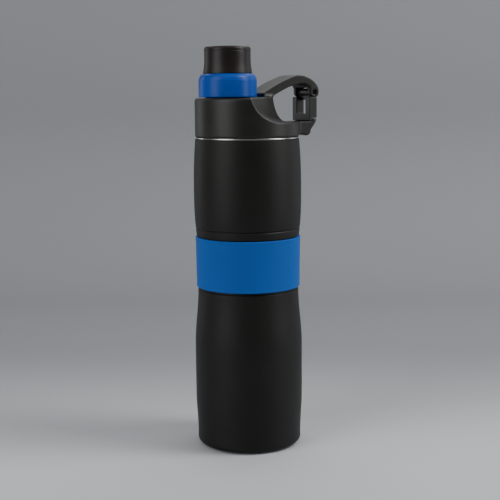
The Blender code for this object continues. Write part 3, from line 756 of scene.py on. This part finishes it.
# %% Spout
def make_spout():
    radius, bore = 11.8, 9.6
    tip, foot = spout_high.z, spout_low.z
    flange_r = (spout_high.x - spout_low.x) / 2
    line = [
        (bore, tip, 0.9),
        (radius, tip, 0.9),
        (radius, 230.4, 0.5),
        (flange_r, 230.4, 0.3),
        (flange_r, 229.0, 0.3),
        (radius, 229.0, 0.5),
        (radius, foot, 0.3),
        (bore, foot, 0.3),
    ]
    shape = spin_shape(rounded(line, closed=True), CAP_STEPS, closed=True, centre_x=CAP_X)
    spout = add_piece("drinking_spout", shape, inner_plastic)
    ridge = thread_shape(radius - 0.3, radius + 1.1, SPOUT_THREAD_Z, CAP_LEAD, THREAD_TURNS, (1.1, 0.6), 72,
                         CAP_X)
    cut_or_join(spout, ridge, "UNION")
    return stand_for(spout, "lid", "black_plastic", "spout")


make_spout()

# %% [markdown]
# ## The lid's plug
#
# The plug reaches down into the neck. It shows when the lid is unscrewed: a flange, the outside thread
# and a groove at the foot for the silicone gasket.


# %% Plug
def make_plug():
    plug_low, plug_high = box_mm("lid_plug")
    flange_r, foot, top = plug_high.x, plug_low.z, plug_high.z
    radius, bore, groove = 25.9, 24.1, 24.75
    line = [
        (0.0, top, 0.0),
        (flange_r, top, 0.3),
        (flange_r, 210.9, 0.3),
        (radius, 210.9, 0.5),
        (radius, 192.8, 0.3),
        (groove, 192.8, 0.2),
        (groove, 189.9, 0.2),
        (radius - 0.2, 189.9, 0.2),
        (radius - 0.2, foot, 0.6),
        (23.5, foot, 0.3),
        (23.5, 194.0, 0.3),
        (bore, 195.0, 0.3),
        (bore, 212.3, 1.0),
        (0.0, 212.3, 0.0),
    ]
    plug = add_piece("screw_plug", spin_shape(rounded(line), 144), inner_plastic)
    ridge = thread_shape(radius - 0.3, radius + 1.2, PLUG_THREAD_Z, LID_LEAD, THREAD_TURNS, (1.5, 0.9), 96)
    cut_or_join(plug, ridge, "UNION")
    port = spin_shape([(0.0, 220.0), (9.6, 220.0), (9.6, 208.0), (0.0, 208.0)], 96, centre_x=CAP_X)
    cut_or_join(plug, port, "DIFFERENCE")
    return stand_for(plug, "lid", "black_plastic", "lid_plug")


make_plug()

# %% [markdown]
# ## Moulded pieces
#
# The lid and the gate are injection mouldings with blended edges. Each is put together from plain solids
# first. A voxel remesh then fuses the solids into one skin, and a few smoothing passes round every edge
# and fillet, as the polished mould does. Flat and round faces are pressed back to their true place, so
# that their reflections stay straight.


# %% Plates, rods and the scoop's loft
def prism_shape(corners, travel):
    """A flat face through the corners, pushed out by travel, all in millimetres."""
    shape = bmesh.new()
    face = shape.faces.new([shape.verts.new((x * MM, y * MM, z * MM)) for x, y, z in corners])
    grown = bmesh.ops.extrude_face_region(shape, geom=[face])
    moved = [item for item in grown["geom"] if isinstance(item, bmesh.types.BMVert)]
    bmesh.ops.translate(shape, verts=moved, vec=[length * MM for length in travel])
    bmesh.ops.recalc_face_normals(shape, faces=shape.faces)
    return shape


def plate_shape(outline, low_y, high_y):
    """An outline in the XZ plane, pushed out along Y."""
    return prism_shape([(x, low_y, z) for x, z in outline], (0.0, high_y - low_y, 0.0))


def block_shape(xs, ys, zs):
    return plate_shape([(xs[0], zs[0]), (xs[1], zs[0]), (xs[1], zs[1]), (xs[0], zs[1])], *ys)


def rod_shape(x, z, radius, low_y, high_y, steps=48):
    shape = bmesh.new()
    turn = Matrix.Rotation(math.pi / 2, 4, "X")
    place = Matrix.Translation((x * MM, (low_y + high_y) / 2 * MM, z * MM))
    bmesh.ops.create_cone(shape, cap_ends=True, segments=steps, radius1=radius * MM, radius2=radius * MM,
                          depth=(high_y - low_y) * MM, matrix=place @ turn)
    return shape


def smooth_line(points, steps):
    """A Catmull-Rom curve through the points."""
    ends = [points[0], *points, points[-1]]
    line = []
    for a, b, c, d in zip(ends, ends[1:], ends[2:], ends[3:]):
        for step in range(steps):
            t = step / steps
            line.append(tuple(0.5 * (2 * q + (r - p) * t + (2 * p - 5 * q + 4 * r - s) * t ** 2
                                     + (3 * q - p - 3 * r + s) * t ** 3)
                              for p, q, r, s in zip(a, b, c, d)))
    line.append(points[-1])
    return line


def arc(centre, radius, start, end, steps):
    """Points along an arc, from one angle to another in degrees."""
    line = []
    for step in range(steps + 1):
        angle = math.radians(start + (end - start) * step / steps)
        line.append((centre[0] + radius * math.cos(angle), centre[1] + radius * math.sin(angle)))
    return line


# %% [markdown]
# The scoop is what gives the lid its prow. On the collar's side its edge is an arc, and in the loop its
# edge is a quarter ellipse. The surface between them is a loft, and the same cutter runs straight through
# the loop.

# %% The scoop's cutter
LOOP_FLOOR = 220.1
SCOOP_CREST = 240.0
SCOOP_R = 27.5
SCOOP_CENTRE = (10.1, 247.6)
SCOOP_PLANE = 34.0
HOLE_CENTRE_X = 24.0
HOLE_HALF_X = 10.46


def scoop_shape():
    steps = 40
    start = math.asin((SCOOP_CENTRE[1] - SCOOP_CREST) / SCOOP_R)
    inner, outer = [], []
    for step in range(steps + 1):
        angle = math.pi / 2 * step / steps
        swing = start + (math.pi / 2 - start) * step / steps
        inner.append((HOLE_CENTRE_X - HOLE_HALF_X * math.cos(angle),
                      SCOOP_CREST - (SCOOP_CREST - LOOP_FLOOR) * math.sin(angle)))
        outer.append((SCOOP_CENTRE[0] - SCOOP_R * math.cos(swing),
                      SCOOP_CENTRE[1] - SCOOP_R * math.sin(swing)))
    beyond = [(50.0, LOOP_FLOOR), (50.0, SCOOP_CREST)]
    inner += beyond
    outer += beyond
    reach = 40.0
    stretch = (reach - LOOP_HALF) / (SCOOP_PLANE - LOOP_HALF)
    wide = [(a[0] + (b[0] - a[0]) * stretch, a[1] + (b[1] - a[1]) * stretch) for a, b in zip(inner, outer)]
    shape = bmesh.new()
    rings = []
    for y, outline in ((-reach, wide), (-LOOP_HALF, inner), (LOOP_HALF, inner), (reach, wide)):
        verts = [shape.verts.new((x * MM, y * MM, z * MM)) for x, z in outline]
        rings.append([shape.edges.new(pair) for pair in zip(verts, verts[1:] + verts[:1])])
    for near, far in zip(rings, rings[1:]):
        bmesh.ops.bridge_loops(shape, edges=near + far)
    bmesh.ops.holes_fill(shape, edges=shape.edges)
    bmesh.ops.recalc_face_normals(shape, faces=shape.faces)
    return shape


# %% [markdown]
# ### The solids that make the lid
#
# Small filler blocks with hollow sides stand where the arms meet the collar. They become the fillets.


# %% Arms and fillers
PIN_HOLE_R = 1.55
ARM_FOOT = 211.5


def upper_arm_solid():
    ear_r = 3.6
    top = smooth_line([(6.3, 239.0), (16.8, 244.9), (28.2, 249.8), (35.0, lid_high.z),
                       (42.3, 248.8), (47.2, 244.8), (PIN_X + ear_r - 0.1, 241.2)], 8)
    ear = arc((PIN_X, PIN_Z), ear_r, 0.0, -180.0, 18)
    under = smooth_line([(41.8, 242.0), (40.6, 244.1), (35.8, 245.4), (27.3, 243.6), (18.9, 239.9),
                         (14.7, 237.8)], 8)
    outline = top + ear + under + [(13.2, 235.4), (6.3, 235.4)]
    arm = add_piece("arm", plate_shape(outline, -LOOP_HALF, LOOP_HALF), None)
    fork = block_shape((39.6, 50.0), (-8.0, 8.0), (234.0, 242.6))
    cut_or_join(arm, fork, "DIFFERENCE")
    hole = rod_shape(PIN_X, PIN_Z, PIN_HOLE_R, -15.0, 15.0)
    cut_or_join(arm, hole, "DIFFERENCE")
    return arm


def lower_arm_solid():
    toe = arc((39.4, 213.8), 3.2, 10.0, -90.0, 12)
    outline = [
        (28.0, LOOP_FLOOR), (43.4, LOOP_FLOOR), (43.5, 222.2), (46.5, 222.2), (46.9, 221.8), (46.7, 220.4),
        (45.9, 218.9), (44.4, 216.9), *toe, (36.0, ARM_FOOT), (28.0, ARM_FOOT),
    ]
    return add_piece("lower_arm", plate_shape(outline, -LOOP_HALF, LOOP_HALF), None)


def lower_fillers():
    """The fillet in plan is an arc that touches the collar's circle and the arm's side face."""
    fillet = 3.6
    centre_y = LOOP_HALF + fillet
    centre_x = math.sqrt((LID_R + fillet) ** 2 - centre_y ** 2)
    collar_touch = math.degrees(math.atan2(-centre_y, -centre_x))
    fillers = []
    for side in (-1.0, 1.0):
        curve = arc((centre_x, centre_y), fillet, collar_touch, -90.0, 10)
        outline = curve + [(centre_x, 8.0), (25.0, 8.0), (25.0, 16.0)]
        corners = [(x, side * y, ARM_FOOT) for x, y in outline]
        shape = prism_shape(corners, (0.0, 0.0, LOOP_FLOOR - ARM_FOOT))
        fillers.append(add_piece("lower_filler", shape, None))
    return fillers


def root_filler():
    """Hollow flanks where the upper arm rises from the collar, trimmed by the same scoop."""
    fillet = 3.2
    flank = arc((LOOP_HALF + fillet, LID_TOP + fillet), fillet, 180.0, 270.0, 10)
    outline = flank + [(LOOP_HALF + fillet, LID_TOP - 1.0)]
    outline += [(-y, z) for y, z in reversed(outline)]
    shape = prism_shape([(6.6, y, z) for y, z in outline], (12.0, 0.0, 0.0))
    filler = add_piece("root_filler", shape, None)
    return cut_or_join(filler, scoop_shape(), "DIFFERENCE")


# %% The collar
RECESS_R = 28.9


def collar_solid():
    edge = 1.8
    corner = arc((LID_R - edge, LID_TOP - edge), edge, 90.0, 0.0, 8)
    line = [(0.0, LID_TOP), *corner, (LID_R, LID_BASE + 0.4), (LID_R - 0.4, LID_BASE), (0.0, LID_BASE)]
    collar = add_piece("collar", spin_shape(line, BODY_STEPS), None)
    cut_or_join(collar, scoop_shape(), "DIFFERENCE")
    recess = [(0.0, 217.9), (RECESS_R, 217.9), (RECESS_R, 205.0), (0.0, 205.0)]
    cut_or_join(collar, spin_shape(recess, 120), "DIFFERENCE")
    room = [(0.0, 240.0), (13.2, 240.0), (13.2, 232.0), (18.0, 232.0), (18.0, 216.0), (0.0, 216.0)]
    cut_or_join(collar, spin_shape(room, 96, centre_x=CAP_X), "DIFFERENCE")
    return collar


def boss_solid():
    line = [(13.2, 238.0), (14.3, 238.0), (14.3, 235.0), (13.2, 235.0)]
    return add_piece("boss", spin_shape(line, 96, closed=True, centre_x=CAP_X), None)


# %% [markdown]
# ### Fusing, smoothing and settling
#
# Settling looks at each point after the smoothing. If it lies close to a face that should be flat or
# round, it is moved on to it. Points on edges are too far away and keep their rounding.


# %% Moulding
def fuse(name, solids, voxel, passes):
    """Join the solids, fuse them with a voxel remesh and smooth the skin."""
    joined = bmesh.new()
    for solid in solids:
        joined.from_mesh(solid.data)
        bpy.data.objects.remove(solid, do_unlink=True)
    piece = add_piece(name, joined, None)
    remesh = piece.modifiers.new("fuse", "REMESH")
    remesh.mode = "VOXEL"
    remesh.voxel_size = voxel * MM
    remesh.adaptivity = 0.0
    graph = bpy.context.evaluated_depsgraph_get()
    skin = bmesh.new()
    skin.from_mesh(piece.evaluated_get(graph).to_mesh())
    bpy.data.objects.remove(piece, do_unlink=True)
    for _ in range(passes):
        bmesh.ops.smooth_vert(skin, verts=skin.verts, factor=0.5, use_axis_x=True, use_axis_y=True,
                              use_axis_z=True)
    print(f"{name}: {len(skin.verts)} points after fusing")
    return skin


def settle(skin, planes, cylinders, reach=0.14):
    """planes: (axis, place) pairs; cylinders: (centre x, radius, low z, high z). All in millimetres."""
    for vert in skin.verts:
        for axis, place in planes:
            if abs(vert.co[axis] / MM - place) < reach and abs(vert.normal[axis]) > 0.9:
                vert.co[axis] = place * MM
        for centre, radius, low, high in cylinders:
            across = Vector((vert.co.x - centre * MM, vert.co.y))
            if low < vert.co.z / MM < high and abs(across.length / MM - radius) < reach:
                across *= radius * MM / across.length
                vert.co.x, vert.co.y = across.x + centre * MM, across.y


LID_VOXEL = 0.57


def make_lid():
    solids = [collar_solid(), boss_solid(), upper_arm_solid(), lower_arm_solid(), root_filler()]
    solids += lower_fillers()
    skin = fuse("lid", solids, LID_VOXEL, 3)
    skin.normal_update()
    flats = [(1, LOOP_HALF), (1, -LOOP_HALF), (2, LID_TOP), (2, LID_BASE), (2, LOOP_FLOOR)]
    walls = [(0.0, LID_R, LID_BASE + 0.8, LID_TOP - 2.4), (0.0, RECESS_R, LID_BASE + 0.8, 217.0)]
    settle(skin, flats, walls)
    piece = add_piece("lid_moulding", skin, collar_plastic, sharp=60.0)
    return stand_for(piece, "lid", "black_plastic", "lid_body")


make_lid()

# %% [markdown]
# ## The gate
#
# The gate is a frame of two side bars, a foot and a cross bar, with the hinge barrel on a web. Its foot
# tucks in behind the nose of the lower arm, which is what stops it from swinging out.


# %% Gate
GATE_FRONT = 47.0
GATE_FOOT = 222.5
GATE_WINDOW = 6.2
HINGE_BARREL = (-7.5, 4.1)
GATE_VOXEL = 0.2


def make_gate():
    back, front, foot, window, barrel = gate_low.x, GATE_FRONT, GATE_FOOT, GATE_WINDOW, HINGE_BARREL
    full = (-LOOP_HALF, LOOP_HALF)
    frame_solid = add_piece("frame", block_shape((back, front), full, (foot, 236.5)), None)
    gap = block_shape((40.0, 50.0), (-window, window), (225.2, 240.0))
    cut_or_join(frame_solid, gap, "DIFFERENCE")
    ears = rod_shape(PIN_X, PIN_Z, 3.8, -15.0, 15.0)
    cut_or_join(frame_solid, ears, "DIFFERENCE")
    bore = rod_shape(PIN_X, PIN_Z, PIN_HOLE_R, -15.0, 15.0)
    web = add_piece("web", block_shape((44.4, 46.2), barrel, (234.8, PIN_Z)), None)
    cut_or_join(web, rod_shape(PIN_X, PIN_Z, 2.5, *barrel), "UNION")
    cut_or_join(web, bore, "DIFFERENCE")
    tongue = add_piece("tongue", block_shape((back, 43.2), full, (gate_low.z, foot + 0.5)), None)
    bar = block_shape((44.2, 46.2), (-window - 1.0, window + 1.0), (234.4, 236.9))
    skin = fuse("gate", [frame_solid, web, tongue, add_piece("cross", bar, None)], GATE_VOXEL, 4)
    skin.normal_update()
    flats = [(1, LOOP_HALF), (1, -LOOP_HALF), (0, front), (0, back), (1, window), (1, -window)]
    settle(skin, flats, [], 0.08)
    piece = add_piece("gate_frame", skin, gate_plastic, sharp=60.0)
    return stand_for(piece, "gate", "black_plastic", "gate")


make_gate()

# %% [markdown]
# ## Pin and spring
#
# The pin is a short rod with broken edges. The spring is one wire on the real object. Its coil and upper
# leg stay with the lid and its lower leg swings with the gate, so it is made as two pieces that meet on
# the coil.


# %% Pin
def make_pin():
    low, high = box_mm("gate_pin")
    shape = rod_shape(PIN_X, PIN_Z, 1.25, low.y, high.y)
    rims = [edge for edge in shape.edges if abs(edge.verts[0].co.y - edge.verts[1].co.y) < 1e-7]
    bmesh.ops.bevel(shape, geom=rims, offset=0.25 * MM, offset_type="OFFSET", segments=3, profile=0.5,
                    affect="EDGES", material=-1)
    return stand_for(add_piece("hinge_pin", shape, black_oxide), "lid", "spring_steel", "gate_pin")


make_pin()


# %% Spring
def wire_piece(name, points, body):
    curve = bpy.data.curves.new(name, "CURVE")
    curve.dimensions = "3D"
    curve.bevel_depth = 0.35 * MM
    curve.bevel_resolution = 4
    curve.use_fill_caps = True
    line = curve.splines.new("POLY")
    line.points.add(len(points) - 1)
    for point, (x, y, z) in zip(line.points, points):
        point.co = ((PIN_X + x) * MM, y * MM, (PIN_Z + z) * MM, 1.0)
    line.use_smooth = True
    curve.materials.append(wire_steel_painted_shade)
    wire = bpy.data.objects.new(name, curve)
    bpy.context.scene.collection.objects.link(wire)
    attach(wire, body)
    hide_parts("gate_spring")
    print(f"{name}: {len(points)} points of wire")
    return wire


def make_spring():
    coil_r, first_y, last_y, turns, steps = 2.1, 7.5, 4.7, 3, 28
    coil = [(-coil_r, first_y, 2.2), (-coil_r, first_y, 1.1)]
    for step in range(turns * steps + 1):
        angle = math.pi + math.tau * step / steps
        y = first_y + (last_y - first_y) * step / (turns * steps)
        coil.append((coil_r * math.cos(angle), y, coil_r * math.sin(angle)))
    leg = [(-coil_r, last_y, 0.0), (-coil_r + 0.05, last_y, -1.5), (-coil_r + 0.1, last_y, -3.0),
           (-coil_r + 0.2, last_y, -4.6)]
    wire_piece("spring_coil", coil, "lid")
    wire_piece("spring_leg", leg, "gate")


make_spring()

# %% [markdown]
# ## Pieces that stay as they are
#
# The hidden pieces have the right shape already. They only get a finish: foil, base, seal and getter in
# the vacuum space, and the liner, seals and gaskets inside the lid and the cap.

# %% Finishes on the hidden pieces
HIDDEN = {
    "radiation_foil": copper_foil,
    "outer_base": bare_steel,
    "vacuum_seal": sintered_metal,
    "getter": sintered_metal,
    "lid_gasket": clear_silicone,
    "spout_gasket": clear_silicone,
    "cap_seal": clear_silicone,
    "cap_liner": inner_plastic,
}
for node, material in HIDDEN.items():
    mesh = frame["nodes"][node].data
    mesh.materials.clear()
    mesh.materials.append(material)
print("finished in place:", ", ".join(HIDDEN))

# %% [markdown]
# ## Floor, light and camera
#
# The bottle stands on a grey sweep that curves up behind it. Its colour carries painted light: paler
# on the floor in front and darker up the wall behind, where less light falls. Two tall soft boxes stand
# left and right and leave a dark band between their reflections down the middle of the body. A small box
# high on the right throws the shadow. The rest are weak and only lift the edges.


# %% The sweep
def make_sweep():
    shape = bmesh.new()
    bend, back, height, width = 0.22, 0.72, 2.6, 3.2
    line = [(-2.2, -0.0005)]
    line += [(back - bend + bend * math.sin(a), bend - 0.0005 - bend * math.cos(a))
             for a in (math.pi / 2 * step / 16 for step in range(17))]
    line += [(back, height)]
    verts = [shape.verts.new((-width, y, z)) for y, z in line]
    edges = [shape.edges.new(pair) for pair in zip(verts, verts[1:])]
    grown = bmesh.ops.extrude_edge_only(shape, edges=edges)
    moved = [item for item in grown["geom"] if isinstance(item, bmesh.types.BMVert)]
    bmesh.ops.translate(shape, verts=moved, vec=(2 * width, 0.0, 0.0))
    bmesh.ops.recalc_face_normals(shape, faces=shape.faces)
    paper_with_painted_light = bpy.data.materials.new("sweep_paper_painted_light")
    paper_with_painted_light.use_nodes = True
    tree = paper_with_painted_light.node_tree
    shader = tree.nodes["Principled BSDF"]
    depth = add_node(tree, "ShaderNodeSeparateXYZ")
    where = add_node(tree, "ShaderNodeTexCoord")
    tree.links.new(where.outputs["Object"], depth.inputs[0])
    # Painted light: the colour fades from the pale floor in front to the darker wall behind, for the light
    # falling off.
    fade = add_node(tree, "ShaderNodeMapRange", interpolation_type="SMOOTHSTEP")
    fade.inputs["From Min"].default_value = -0.1
    fade.inputs["From Max"].default_value = 0.28
    tree.links.new(depth.outputs[1], fade.inputs["Value"])
    # near is the painted lit tone of the floor, far the painted shaded tone of the wall.
    near, far = colour_node(tree, (0.44, 0.452, 0.472)), colour_node(tree, (0.190, 0.198, 0.210))
    tree.links.new(mix_colour(tree, fade.outputs[0], near, far), shader.inputs["Base Color"])
    shader.inputs["Roughness"].default_value = 0.75
    sweep = add_piece("sweep", shape, paper_with_painted_light)
    sweep.rotation_euler = (0.0, 0.0, -VIEW_TURN)
    return sweep


VIEW_TURN = math.radians(26.0)
VIEW_DROP = math.radians(8.4)
VIEW_LEAN = math.radians(-0.45)
VIEW_ASIDE = math.radians(0.107)
VIEW_DISTANCE = 0.7206
VIEW_HEIGHT = 0.2397
make_sweep()


# %% Lights
def soft_box(name, angle, distance, height, size, power, aim_height=0.13):
    """angle is measured from the camera's side of the bottle, positive to the camera's right."""
    light = bpy.data.lights.new(name, "AREA")
    light.shape = "RECTANGLE"
    light.size, light.size_y = size
    light.energy = power
    lamp = bpy.data.objects.new(name, light)
    turn = -math.pi / 2 - VIEW_TURN + math.radians(angle)
    lamp.location = (distance * math.cos(turn), distance * math.sin(turn), height)
    aim = Vector((0.0, 0.0, aim_height)) - lamp.location
    lamp.rotation_euler = aim.to_track_quat("-Z", "Y").to_euler()
    bpy.context.scene.collection.objects.link(lamp)
    return lamp


soft_box("left_box", -52.0, 1.3, 0.70, (0.8, 1.5), 16.0)
soft_box("right_box", 76.0, 1.3, 0.90, (0.6, 1.8), 19.0)
soft_box("top_box", 10.0, 0.45, 1.5, (1.2, 0.9), 3.4, aim_height=0.0)
soft_box("key_box", 86.0, 0.95, 1.15, (0.4, 0.4), 7.0, aim_height=0.0)
soft_box("back_box", 176.0, 0.45, 0.78, (0.9, 0.35), 3.0, aim_height=0.24)
soft_box("right_rim", 118.0, 0.9, 0.35, (0.3, 0.7), 0.8, aim_height=0.2)
soft_box("left_rim", -122.0, 0.9, 0.32, (0.25, 0.7), 1.0, aim_height=0.2)

world = bpy.data.worlds.new("studio")
world.use_nodes = True
world.node_tree.nodes["Background"].inputs["Color"].default_value = (0.60, 0.61, 0.63, 1.0)
world.node_tree.nodes["Background"].inputs["Strength"].default_value = 0.06
bpy.context.scene.world = world

# %% [markdown]
# The camera stands a little above the cap's foot and looks slightly down. It is turned so that the loop
# points away to the right.

# %% Camera
lens = bpy.data.cameras.new("camera")
lens.sensor_width = 36.0
lens.lens = 76.75
lens.clip_start = 0.01
camera = bpy.data.objects.new("camera", lens)
bpy.context.scene.collection.objects.link(camera)
stand = (-VIEW_DISTANCE * math.sin(VIEW_TURN), -VIEW_DISTANCE * math.cos(VIEW_TURN), VIEW_HEIGHT)
camera.matrix_world = (
    Matrix.Translation(stand)
    @ Matrix.Rotation(-VIEW_TURN - VIEW_ASIDE, 4, "Z")
    @ Matrix.Rotation(math.pi / 2 - VIEW_DROP, 4, "X")
    @ Matrix.Rotation(VIEW_LEAN, 4, "Z")
)
bpy.context.scene.camera = camera
